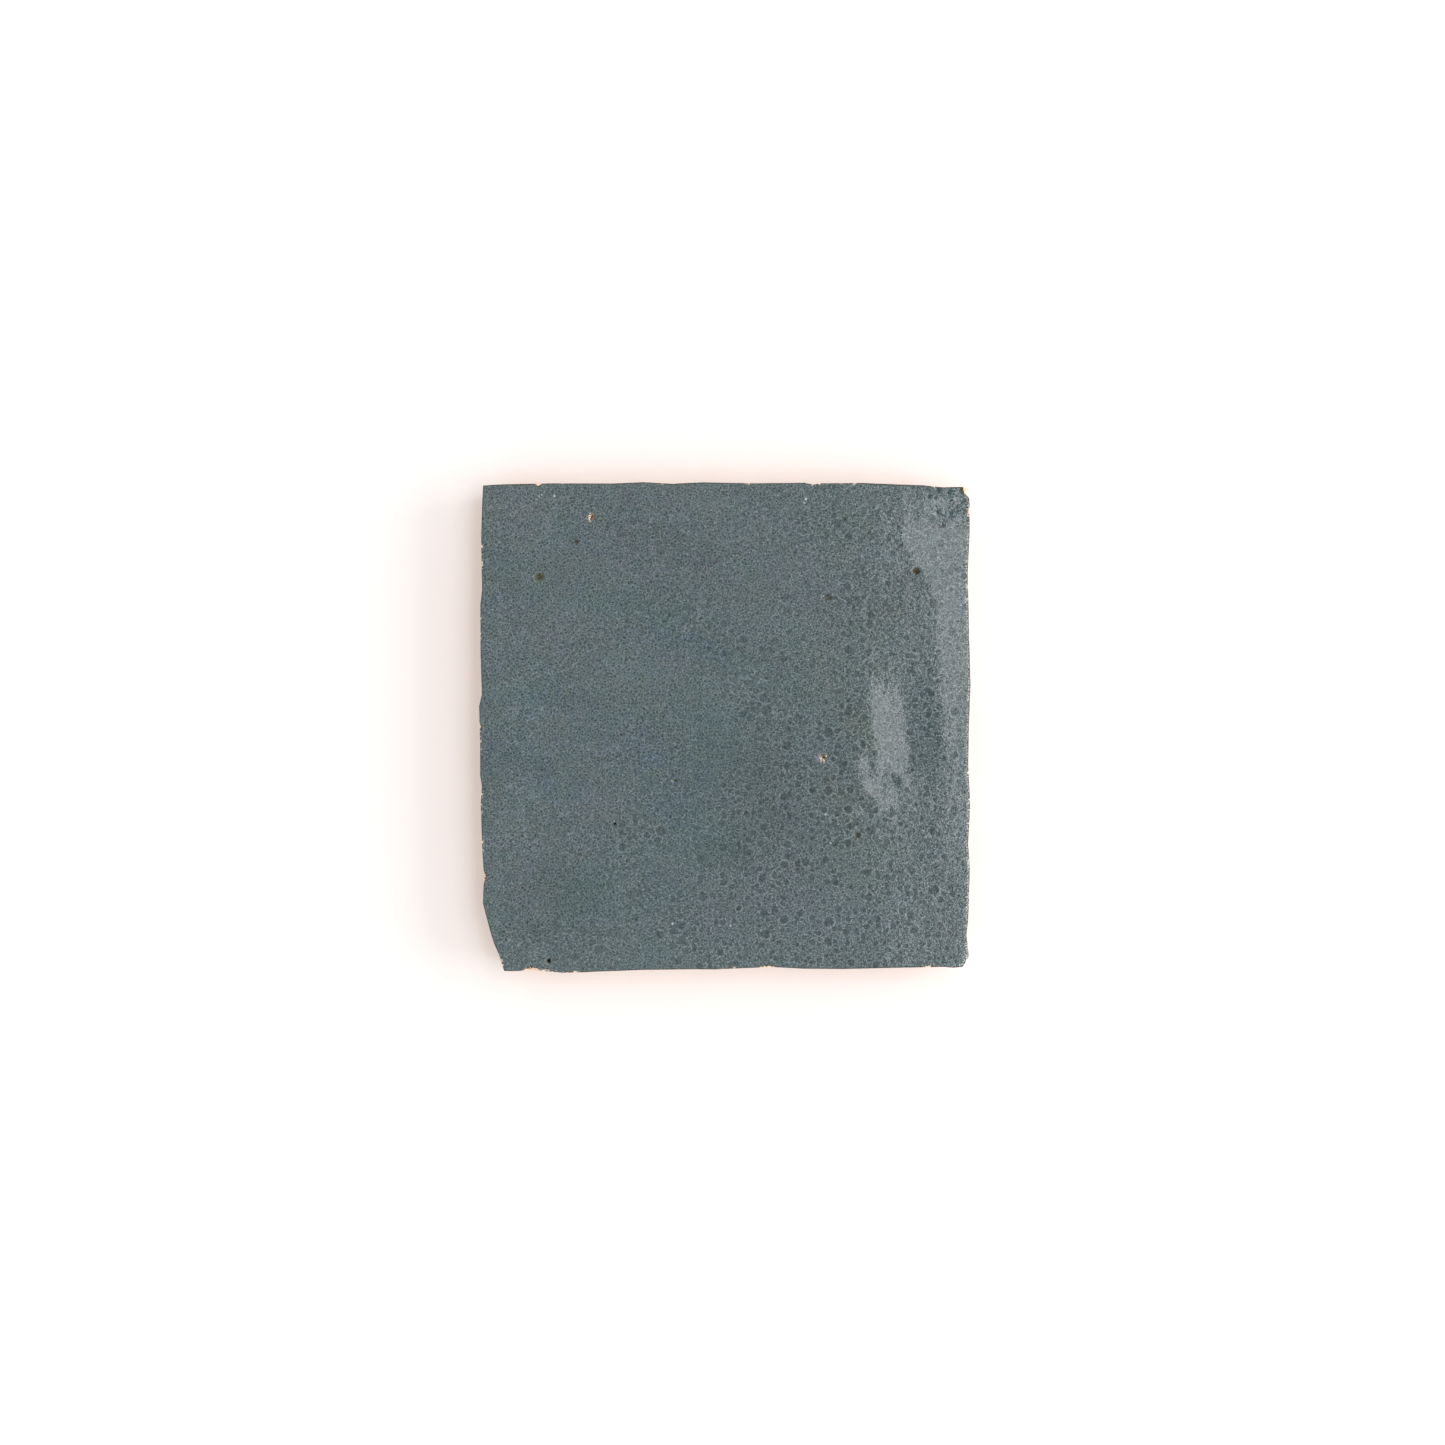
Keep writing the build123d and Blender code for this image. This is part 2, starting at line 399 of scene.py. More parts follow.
# Fits a square grid to the outline at one height, and keeps its middle even
def fitGrid(tree, verts, height):
    halfX = (cadBox[1][0] - cadBox[0][0]) / 2 / mm
    halfY = (cadBox[1][1] - cadBox[0][1]) / 2 / mm
    for vert in verts:
        u, v = vert.co.x, vert.co.y
        u = (1 + tile["crowd"]) * u - tile["crowd"] * u * abs(u) ** (tile["crowdPower"] - 1)
        v = (1 + tile["crowd"]) * v - tile["crowd"] * v * abs(v) ** (tile["crowdPower"] - 1)
        ring = max(abs(u), abs(v))
        flat = Vector((u * halfX, v * halfY))
        if ring > 1 - tile["fitBand"]:
            fit = reachAt(tree, flat, height) / (flat.length / ring)
            flat = flat * (1 + (fit - 1) * smooth(ring, 1 - tile["fitBand"], 1))
        vert.co = (flat.x, flat.y, 0)


# Small nicks along the rim, in mm, worse at the right side's lower half
def nickAt(x, y):
    worse = 1 + smooth(x, 40, 48) * (0.1 + 0.8 * smooth(-y, 5, 35))
    ragged = 0.7 * grainAt(x, y, 1.1, 3.1) + 0.6 * grainAt(x, y, 0.23, 7.7)
    return tile["nick"] * worse * max(0.0, ragged - 0.08)


# Splits the cells along the rim and in the pits and spots, so that they come out sharp
def splitCells(tree, bm):
    outer = {vert for vert in bm.verts if max(abs(vert.co.x), abs(vert.co.y)) > tile["rimZone"]}
    outer = {vert for vert in outer if fromRim(tree, vert.co) < tile["splitBand"]}
    edges = {edge for vert in outer for edge in vert.link_edges if edge.other_vert(vert) in outer}
    bmesh.ops.subdivide_edges(bm, edges=list(edges), cuts=1, use_grid_fill=True)
    for x, y, radius, depth, *_ in pits:
        near = {vert for vert in bm.verts if (vert.co.xy - Vector((x, y))).length < radius * 1.1 + 0.25}
        edges = {edge for vert in near for edge in vert.link_edges if edge.other_vert(vert) in near}
        bmesh.ops.subdivide_edges(bm, edges=list(edges), cuts=3 if depth else 2, use_grid_fill=True)


def shapeFace(tree, bm, layers):
    bmesh.ops.create_grid(bm, x_segments=tile["cells"], y_segments=tile["cells"], size=1)
    fitGrid(tree, bm.verts, tile["wallLevel"])
    splitCells(tree, bm)
    for vert in bm.verts:
        flat = vert.co.xy
        inFromRim = tile["wellInside"]
        if max(abs(flat.x), abs(flat.y)) > tile["rimZone"]:
            if vert.is_boundary:
                flat = flat.normalized() * reachAt(tree, flat, tile["wallLevel"])
            inFromRim = max(0.0, fromRim(tree, flat))
        height = faceHeight(flat.x, flat.y)
        if inFromRim < tile["flakeBand"]:
            probe = flat * 0.998
            hit, lean = tree.ray_cast(Vector((probe.x, probe.y, tile["above"])), Vector((0, 0, -1)))[:2]
            if hit and tile["flakeLean"][0] < abs(lean.z) < tile["flakeLean"][1]:
                lost = max(0.0, height - hit.z) + tile["glazeDepth"]
                height -= lost + tile["flakeRough"] * grainAt(flat.x, flat.y, 2.5, 1)
                vert[layers["lost"]] = lost
        height += faceRipple(flat.x, flat.y) - pitDepth(flat.x, flat.y)
        spotColour, spot, spotDull = spotAt(flat.x, flat.y)
        vert[layers["spotColour"]] = spotColour
        vert[layers["spot"]] = spot
        vert[layers["spotDull"]] = spotDull
        vert[layers["tint"]] = tintAt(flat.x, flat.y)
        if inFromRim < tile["rimRound"]:
            height -= tile["rimDrop"] * (1 - inFromRim / tile["rimRound"]) ** 2
        if inFromRim < 2:
            flat = flat * (1 - nickAt(flat.x, flat.y) / flat.length * (1 - smooth(inFromRim, 0, 1.0)))
        vert[layers["inside"]] = inFromRim
        vert.co = (flat.x, flat.y, height)


# Rough clay: crumbs and faint drag marks, in mm
def clayRelief(x, y, z):
    crumbs = noise.fractal(Vector((x * 0.55, y * 0.55, z * 0.9)), 0.6, 2.1, 4)
    drags = noise.noise(Vector((x * 0.12, y * 0.12, z * 1.9)))
    return tile["crumb"] * (0.7 * crumbs + 0.5 * drags)


def shapeWalls(tree, bm, layers):
    rim = [edge for edge in bm.edges if edge.is_boundary]
    last = 0
    for share in tile["wallRings"]:
        grown = bmesh.ops.extrude_edge_only(bm, edges=rim)["geom"]
        verts = [item for item in grown if isinstance(item, bmesh.types.BMVert)]
        rim = [item for item in grown if isinstance(item, bmesh.types.BMEdge)]
        for vert in verts:
            top = vert.co.z / (1 - last)
            height = top * (1 - share)
            down = top - height
            reach = reachAt(tree, vert.co, max(0.02, height))
            bite = nickAt(vert.co.x, vert.co.y) * (1 - smooth(down, 0, 1.6))
            rough = clayRelief(vert.co.x, vert.co.y, height) * (1 - smooth(share, 0.93, 1))
            rough = max(0.0, rough + tile["crumb"] * 0.35) * smooth(down, 0.1, 0.8)
            flat = vert.co.xy.normalized() * (reach - bite - rough)
            vert.co = (flat.x, flat.y, height)
            vert[layers["fall"]] = down
            vert[layers["lost"]] = 0
            vert[layers["inside"]] = 0
        last = share
    return rim


def shapeBack(tree, bm, layers, rim):
    cells = tile["backCells"]
    verts = bmesh.ops.create_grid(bm, x_segments=cells, y_segments=cells, size=1)["verts"]
    fitGrid(tree, verts, 0.02)
    bmesh.ops.scale(bm, vec=(tile["backInset"], tile["backInset"], 1), verts=verts)
    for vert in verts:
        edgeShare = max(abs(vert.co.x), abs(vert.co.y)) / (face["width"] / 2)
        hollow = 0.5 * clayRelief(vert.co.x, vert.co.y, 5) + 0.12 * noise.noise(vert.co * 0.06)
        vert.co.z = max(0.0, hollow) * (1 - smooth(edgeShare, 0.9, 0.97))
        vert[layers["fall"]] = face["thickness"]
    border = list({edge for vert in verts for edge in vert.link_edges if edge.is_boundary})
    bmesh.ops.bridge_loops(bm, edges=rim + border)


def makeTile():
    tree = cadTree()
    bm = bmesh.new()
    layers = {}
    for name in ("fall", "lost", "inside", "spot", "spotDull"):
        layers[name] = bm.verts.layers.float.new(name)
    for name in ("tint", "spotColour"):
        layers[name] = bm.verts.layers.float_vector.new(name)
    shapeFace(tree, bm, layers)
    rim = shapeWalls(tree, bm, layers)
    shapeBack(tree, bm, layers, rim)
    bmesh.ops.recalc_face_normals(bm, faces=bm.faces)
    bmesh.ops.scale(bm, vec=(mm, mm, mm), verts=bm.verts)
    for item in bm.faces:
        item.smooth = True
    mesh = bpy.data.meshes.new("glazed_tile")
    bm.to_mesh(mesh)
    triangles = sum(len(item.verts) - 2 for item in bm.faces)
    openEdges = sum(not edge.is_manifold for edge in bm.edges)
    bm.free()
    piece = bpy.data.objects.new("glazed_tile", mesh)
    bpy.context.scene.collection.objects.link(piece)
    print("tile made,", triangles, "triangles,", openEdges, "open edges")
    return piece


# Glaze and clay

glaze = {
    "strand": paint(109.5, 121, 123),  # the light net
    "ground": paint(69.5, 82, 83),
    "cell": paint(39.5, 52, 52),  # the dark bubbles
    "fineCell": 0.64,  # mm across
    "wideCell": 1.15,
    "blobs": [  # larger bubbles: spacing, least and most radius, darkness, share where the glaze is fine
        (1.5, 0.22, 0.75, 0.50, 0.05),
        (2.6, 0.20, 0.95, 0.50, 0.08),
        (4.3, 0.25, 1.20, 0.55, 0.12),
    ],
    "coarseFrom": (0.018, -0.010),  # how the bubbles grow, per mm across and along
    "mottle": [  # uneven oxides: size in mm, and the shift of red, green and blue
        (1.6, (0.26, 0.06, 0.22)),
        (6.0, (0.20, 0.04, 0.16)),
    ],
    "edge": paint(44, 48, 42),  # painted shade: a dark line along the rim and round flakes
    "rimShadeTo": (0.05, 0.32),  # mm in from the rim, where the painted shade gives way to the full glaze
    "rimShadeDown": (0.15, 0.7),  # mm down the sides, where the painted shade is lighter again
    "crumbs": paint(190, 196, 194),  # pale crumbs of bruised glaze low on the right side, partly painted glints
    "rough": 0.09,
    "matt": 0.13,  # roughness added in the matt specks
    "net": 0.004,  # mm, relief of the net
    "peel": 0.035,  # mm, relief of the orange peel
    "fizz": 0.032,  # mm, its finest relief, towards the right side
    "pinpricks": 0.74,  # share of the gloss lost in the pinpricks there
    "paintedGlint": paint(166, 174, 176),  # painted glints, the palest of its specks
    "lumps": 0.05,  # mm, coarser lumps towards the right side
}

clay = {
    "pale": paint(234, 211, 187),
    "deep": paint(206, 171, 147),
    "pore": paint(164, 132, 108),
    "bump": 0.12,  # mm
    "glazeEnds": 1.7,  # mm below the rim where the glaze stops
    "flakeEdge": (0.02, 0.06),  # mm struck off, from which a flake's edge gets the painted shade
    "flakeBare": (0.16, 0.22),  # and from which its clay shows
}

# Where the glaze changes over the face: from and to, in mm from the middle
zones = {
    "lively": (24.0, 36.0),  # across: coarser relief and painted glints
    "pricked": (28.0, 44.0),  # across: pinpricks
    "farEnd": (39.0, 45.0),  # along: more pinpricks
    "bruised": (45.0, 47.0),  # across: crumbs, low on the right side
    "bruisedFrom": (34.0, 37.0),  # towards the near side
    "bruisedTo": (46.0, 48.0),
    "battered": (47.5, 49.0),  # across: crumbs here and there
    "flecked": (46.0, 48.0),  # across: flecks along the rim
}

# How the patches shift red, green and blue: the oxides' hues, and lighter or darker in places
tints = {
    "blue": (0.94, 0.975, 1.045),
    "teal": (0.93, 1.00, 0.995),
    "mauve": (1.02, 0.99, 1.015),
    "pink": (1.05, 0.995, 1.02),
    "olive": (1.015, 1.02, 0.975),
    "rust": (1.06, 1.01, 0.95),
    "light": (1.09, 1.085, 1.08),
    "shade": (0.895, 0.895, 0.895),
    "pale": (1.06, 1.06, 1.06),
    "dim": (0.92, 0.92, 0.92),
}

# Soft patches of those shifts: place, reach and turn
patches = [
    (-46.8, 26.6, 5.0, 2.5, 0, "blue"),
    (-18.0, 24.0, 13.0, 5.0, -8, "teal"),
    (-7.8, 16.8, 15.0, 3.0, -9, "blue"),
    (2.5, 13.5, 6.0, 4.0, -10, "teal"),
    (15.8, 15.6, 9.0, 3.0, -10, "olive"),
    (32.0, 21.0, 7.0, 6.0, 60, "olive"),
    (23.0, 9.6, 9.0, 7.0, 0, "olive"),
    (-35.5, 18.9, 15.0, 7.0, -15, "pink"),
    (-10.0, 13.4, 5.0, 3.0, 0, "pink"),
    (-42.7, 7.2, 10.0, 3.0, 0, "teal"),
    (-37.7, 4.5, 14.0, 3.5, 8, "blue"),
    (-21.7, -2.0, 14.0, 6.0, -10, "blue"),
    (-42.7, -7.8, 12.0, 5.0, -15, "blue"),
    (-30.0, -12.0, 7.0, 4.0, 0, "blue"),
    (-10.5, -12.5, 10.0, 9.0, -30, "blue"),
    (-2.5, -1.0, 10.0, 15.0, 15, "teal"),
    (-5.0, -23.5, 13.0, 8.0, 10, "teal"),
    (-28.3, -33.4, 11.0, 9.0, 20, "teal"),
    (-14.6, -33.0, 5.0, 10.0, 0, "blue"),
    (-15.0, -46.0, 4.0, 4.0, 0, "teal"),
    (-25.0, -16.5, 8.0, 5.0, -20, "pink"),
    (-40.0, -26.0, 14.0, 10.0, 0, "mauve"),
    (12.0, -37.0, 24.0, 11.0, 5, "mauve"),
    (27.0, 0.5, 5.0, 8.0, 0, "rust"),
    (24.0, -15.0, 8.0, 5.0, -25, "rust"),
    (28.0, -27.5, 13.0, 9.0, 0, "olive"),
    (25.0, 40.4, 6.0, 10.0, 0, "olive"),
    (-15.0, 38.0, 24.0, 10.0, 0, "mauve"),
    (16.8, 30.0, 18.0, 10.0, 0, "mauve"),
    (-43.0, 43.5, 11.0, 8.0, 0, "pink"),
    (-11.0, 47.6, 12.0, 3.0, 0, "pink"),
    (13.0, -18.0, 4.0, 14.0, 0, "mauve"),
    (-42.0, 42.0, 12.0, 9.0, 0, "light"),
    (-43.0, 8.0, 10.0, 10.0, 0, "light"),
    (-43.0, -18.0, 8.0, 14.0, 0, "light"),
    (8.0, -14.0, 11.0, 22.0, 0, "shade"),
    (25.0, 23.0, 10.0, 11.0, 0, "shade"),
    (-47.0, -32.0, 4.5, 15.0, 0, "light"),
    (-47.0, 24.0, 4.0, 10.0, 0, "pale"),
    (-45.0, 16.0, 8.0, 4.0, 0, "pale"),
    (-33.0, 22.5, 9.0, 4.0, -15, "pale"),
    (-46.0, 2.0, 8.0, 3.0, 0, "pale"),
    (-18.0, 12.0, 9.0, 4.0, -10, "pale"),
    (-24.0, -14.0, 8.0, 6.0, 0, "pale"),
    (13.0, 21.0, 14.0, 4.5, -12, "pale"),
    (28.0, -38.0, 19.0, 7.0, 0, "pale"),
    (-2.0, 45.0, 11.0, 5.0, 0, "pale"),
    (-17.0, 41.0, 10.0, 6.0, -30, "dim"),
    (-5.5, 34.5, 9.0, 5.0, -25, "dim"),
    (-14.0, 26.0, 11.0, 4.5, -5, "dim"),
    (9.0, 14.3, 20.0, 2.4, -13, "dim"),
    (-33.0, 5.5, 10.0, 2.8, -5, "dim"),
    (-40.0, -8.0, 8.0, 3.0, -25, "dim"),
    (-33.0, -33.0, 9.0, 7.0, 0, "dim"),
    (-40.0, -41.0, 6.0, 4.0, 0, "dim"),
    (0.0, -8.0, 9.0, 7.0, 0, "dim"),
    (-1.0, -25.0, 8.0, 4.5, 0, "dim"),
    (14.0, -19.0, 6.0, 8.0, 0, "dim"),
    (36.0, 27.0, 6.0, 10.0, 0, "shade"),
    (37.0, 39.0, 3.5, 4.0, 0, "dim"),
    (36.5, 28.0, 5.5, 9.0, 0, "dim"),
    (46.0, -38.0, 5.0, 15.0, 0, "dim"),
    (31.5, 4.0, 5.0, 11.0, 0, "olive"),
    (-5.0, -46.5, 55.0, 5.0, 0, "pale"),
    (-45.0, -43.0, 7.0, 7.0, 0, "light"),
]

# What shows in a pit or spot: colours, how rare its flecks are, where its edge fades from, and how dull it is
pitKinds = {
    # crater: a chip showing cream clay, painted paler still on the wall that faces the light
    "crater": {"outer": paint(134, 108, 86), "core": paint(34, 20, 12), "fleck": paint(78, 60, 46),
               "pale": paint(214, 203, 184), "rare": 0.12, "fade": 0.40, "ragged": 0.9, "dull": 1.0},
    "olive": {"outer": paint(66, 73, 52), "core": paint(40, 48, 26), "fleck": paint(80, 76, 62),
              "rare": 0.16, "fade": 0.40, "ragged": 0.5, "dull": 0.8},
    "rusty": {"outer": paint(60, 60, 46), "core": paint(34, 31, 20), "fleck": paint(88, 76, 56),
              "rare": 0.30, "fade": 0.65, "ragged": 0.4, "dull": 0.8},
    "dull": {"outer": paint(48, 57, 49), "core": paint(42, 50, 43), "fleck": paint(84, 94, 88),
             "rare": 0.28, "fade": 0.55, "ragged": 0.6, "dull": 0.6},
    "dark": {"outer": paint(50, 55, 44), "core": paint(30, 34, 26), "fleck": paint(74, 76, 62),
             "rare": 0.18, "fade": 0.55, "ragged": 0.9, "dull": 0.8},
    "umber": {"outer": paint(56, 56, 51), "core": paint(44, 42, 37), "fleck": paint(84, 84, 78),
              "rare": 0.25, "fade": 0.40, "ragged": 0.8, "dull": 0.5},
    "faint": {"outer": paint(50, 63, 59), "core": paint(43, 56, 52), "fleck": paint(58, 70, 66),
              "rare": 0.50, "fade": 0.40, "ragged": 0.7, "dull": 0.0},
    "green": {"outer": paint(54, 70, 51), "core": paint(38, 53, 34), "fleck": paint(60, 76, 60),
              "rare": 0.30, "fade": 0.35, "ragged": 0.6, "dull": 0.7},
    "pinhole": {"outer": paint(46, 46, 34), "core": paint(6, 6, 5), "fleck": paint(60, 58, 46),
                "rare": 0.40, "fade": 0.60, "ragged": 0.4, "dull": 1.0},
    "black": {"outer": paint(6, 6, 7), "core": paint(2, 2, 2), "fleck": paint(6, 6, 7),
              "rare": 0.80, "fade": 0.80, "ragged": 0.1, "dull": 1.0},
    "halo": {"outer": paint(92, 97, 104), "core": paint(106, 110, 118), "fleck": paint(128, 132, 138),
             "rare": 0.20, "fade": 0.20, "ragged": 1.0, "dull": 0.0},
    # white specks: a scratch and small flecks, and some painted glints
    "speck": {"outer": paint(150, 160, 162), "core": paint(204, 210, 212), "fleck": paint(180, 188, 190),
              "rare": 0.50, "fade": 0.45, "ragged": 0.4, "dull": 0.4},
    # painted highlight: a white glint
    "paintedGlint": {"outer": paint(220, 222, 222), "core": paint(240, 240, 240), "fleck": paint(240, 240, 240),
              "rare": 0.50, "fade": 0.50, "ragged": 0.3, "dull": 0.6},
}


# The bubbled glaze: -1 in a dark bubble, 0 on the ground, 1 on a light strand of the net
def bubbles(sheet, place, across, along):
    shift = sheet.parts("SUBTRACT", sheet.grain(place, 1.1, 2.0, 0.5, 1), (0.5, 0.5, 0.5))
    bent = sheet.parts("MULTIPLY_ADD", shift, (0.5, 0.5, 0.5), place)
    perX, perY = glaze["coarseFrom"]
    coarse = sheet.rise(across * perX + along * perY + sheet.grain(place, 14) * 1.8 - 0.45, 0.0, 1.0)
    speck = sheet.grain(place, 0.30, 1.0) - 0.5
    fine = 1 - 2 * sheet.rise(sheet.net(bent, glaze["fineCell"]), 0.0, 0.18)
    wide = 1 - 2 * sheet.rise(sheet.net(bent, glaze["wideCell"]), 0.02, 0.30)
    tone = fine * (0.50 - coarse * 0.18) + wide * (0.05 + coarse * 0.13) + speck * (3.0 + coarse * 1.2)
    for size, least, most, amount, always in glaze["blobs"]:
        away, luck = sheet.dots(bent, size)
        share = away / (luck * luck * (most - least) + least)
        inBlob = (1 - sheet.rise(share, 0.55, 1.0)) * (always + coarse * (1 - always))
        ring = sheet.rise(share, 0.9, 1.05) * (1 - sheet.rise(share, 1.08, 1.35)) * coarse
        tone = tone * (1 - inBlob * 0.5) - inBlob * amount + ring * 0.45
    livelier = sheet.rise(across, 0.0, 30.0) * (1 - coarse * 0.8)
    return tone * (1 + livelier * 0.22), coarse


# Uneven oxides: small shifts of red and blue, at two sizes
def mottle(sheet, place, colour, coarse):
    for size, amount in glaze["mottle"]:
        shift = sheet.parts("SUBTRACT", sheet.grain(place, size, 1.5, 0.6, 1), (0.5, 0.5, 0.5))
        share = sheet.parts("MULTIPLY_ADD", sheet.scaled(shift, 1 - coarse * 0.5), amount, (1, 1, 1))
        colour = sheet.parts("MULTIPLY", colour, share)
    return colour


# Share of the colour added or taken by the patches at a place
def tintAt(x, y):
    ragged = 0.55 * grainAt(x, y, 0.3, 4.4) + 0.45 * grainAt(x, y, 0.8, 6.1)
    share = Vector((1, 1, 1))
    for placeX, placeY, reachX, reachY, turn, tint in patches:
        away = Vector((x - placeX, y - placeY))
        if away.length < 1.8 * max(reachX, reachY):
            away.rotate(Matrix.Rotation(-radians(turn), 2))
            amount = 1 - smooth(hypot(away.x / reachX, away.y / reachY) + ragged, 0.3, 1.0)
            share = share * (Vector((1, 1, 1)).lerp(Vector(tints[tint]), amount))
    return share - Vector((1, 1, 1))


# The colour of a pit or spot at a place, how much it covers and how dull it is
def spotAt(x, y):
    colour, cover, dull = Vector((0, 0, 0)), 0.0, 0.0
    for placeX, placeY, radius, _, kind, turn in pits:
        away = Vector((x - placeX, y - placeY)) / radius
        if away.length > 1.6:
            continue
        look = pitKinds[kind]
        ragged = look["ragged"] * (0.40 * grainAt(x, y, 2.2, 1.7) + 0.45 * grainAt(x, y, 4.6, 3.9))
        fleck = grainAt(x, y, 4.2, 8.3)
        away.rotate(Matrix.Rotation(-radians(turn), 2))
        reach = away.length + ragged
        side = away.x + ragged * 0.5
        shown = Vector(look["outer"]).lerp(Vector(look["core"]), 1 - smooth(reach, 0.1, 0.6))
        # a crater's pale side: cream clay, with painted light on the wall that faces the lamp
        if "pale" in look:
            hole = 1 - smooth(hypot(away.x - 0.12, away.y) + ragged * 0.3, 0.10, 0.38)
            shown = Vector(look["outer"]).lerp(Vector(look["pale"]), 1 - smooth(side, -0.35, -0.05))
            shown = shown.lerp(Vector(look["core"]), hole)
        shown = shown.lerp(Vector(look["fleck"]), smooth(fleck, look["rare"], look["rare"] + 0.12))
        mask = 1 - smooth(reach, look["fade"], 1.0)
        if mask > 0:
            total = mask + cover * (1 - mask)
            colour = colour.lerp(shown, mask / total)
            dull = dull + (look["dull"] - dull) * mask / total
            cover = total
    return colour, cover, dull * cover


# The glaze's colour: its bubbles, the oxides, the lighter and darker patches and the spots
def glazeColour(sheet, place, tone, coarse):
    colour = sheet.blend(sheet.rise(0 - tone, 0.0, 1.0), glaze["ground"], glaze["cell"])
    colour = sheet.blend(sheet.rise(tone, 0.0, 1.3), colour, glaze["strand"])
    colour = mottle(sheet, place, colour, coarse)
    colour = sheet.parts("MULTIPLY_ADD", colour, sheet.attribute("tint", 1), colour)
    return sheet.blend(sheet.attribute("spot"), colour, sheet.attribute("spotColour", 1))


# Relief of the glossy glaze, in mm
def peelRelief(sheet, place, coarse, toRight):
    peel = sheet.grain(place, 0.75, 1.0) * glaze["peel"] * (0.35 + coarse * 0.35 + toRight * 0.6)
    lumps = sheet.grain(place, 1.9, 1.0) * glaze["lumps"] + sheet.grain(place, 0.32, 1.0) * glaze["fizz"]
    return peel + lumps * toRight


# Share of bare clay: on the sides, below the glaze, and in the flakes
def bareClay(sheet, place, fall, lost, mayShow):
    ends = clay["glazeEnds"]
    ragged = (sheet.grain(place, 0.9) - 0.5) * 1.2 + (sheet.grain(place, 5.0, 2.0) - 0.5) * 2.6
    onSides = sheet.rise(fall + ragged, ends - 0.1, ends + 0.1)
    crumbly = (sheet.grain(place, 0.42, 2.0) - 0.5) * 0.6
    return onSides.most(sheet.rise(lost + crumbly, *clay["flakeBare"]) * mayShow)


# Fired clay: cloudy, with darker pores
def clayColour(sheet, place):
    cloudy = sheet.rise(sheet.grain(place, 3.4, 7.0, 0.72), 0.34, 0.62)
    pores = sheet.rise(sheet.grain(place, 0.55, 2.0), 0.60, 0.70) * 0.7
    return sheet.blend(pores, sheet.blend(cloudy, clay["deep"], clay["pale"]), clay["pore"])


# Small chips along the rim, here and there
def rimChips(sheet, place, inside):
    chips = sheet.rise(sheet.grain(place, 0.6, 2.0), 0.54, 0.60) * (1 - sheet.rise(inside, 0.10, 0.45))
    return chips * sheet.rise(sheet.grain(place, 8.0, 1.0), 0.54, 0.64)


# Pale crumbs where the glaze is bruised, and flecks along the right side's rim: partly chips, partly painted
# glints
def crumbShare(sheet, place, across, inside, bruised):
    battered = sheet.rise(across, *zones["battered"]) * sheet.rise(sheet.grain(place, 5.0, 1.0), 0.44, 0.56)
    clumps = sheet.grain(place, 0.26, 1.0) + sheet.grain(place, 1.5, 1.0) * 0.7
    crumbs = sheet.rise(clumps, 0.96, 1.04) * (1 - sheet.rise(inside, 0.2, 1.2))
    strip = sheet.rise(inside, 0.12, 0.24) * (1 - sheet.rise(inside, 0.35, 0.7))
    strip = strip * sheet.rise(across, *zones["flecked"])
    flecks = sheet.rise(sheet.grain(place, 0.30, 1.0), 0.54, 0.62) * strip
    return (crumbs * bruised.most(battered * 0.8)).most(flecks * 0.7)


# Pinpricks without gloss, thicker towards the far end of the right side
def pinprickShare(sheet, place, across, along):
    farEnd = sheet.rise(along, *zones["farEnd"])
    clumps = (sheet.grain(place, 1.7, 1.0) - 0.5) * (0.2 + farEnd * 0.6)
    pricks = sheet.rise(sheet.grain(place, 0.28, 1.0) + clumps + farEnd * 0.09, 0.52, 0.64)
    return pricks * sheet.rise(across, *zones["pricked"]) * (glaze["pinpricks"] + farEnd * 0.25)


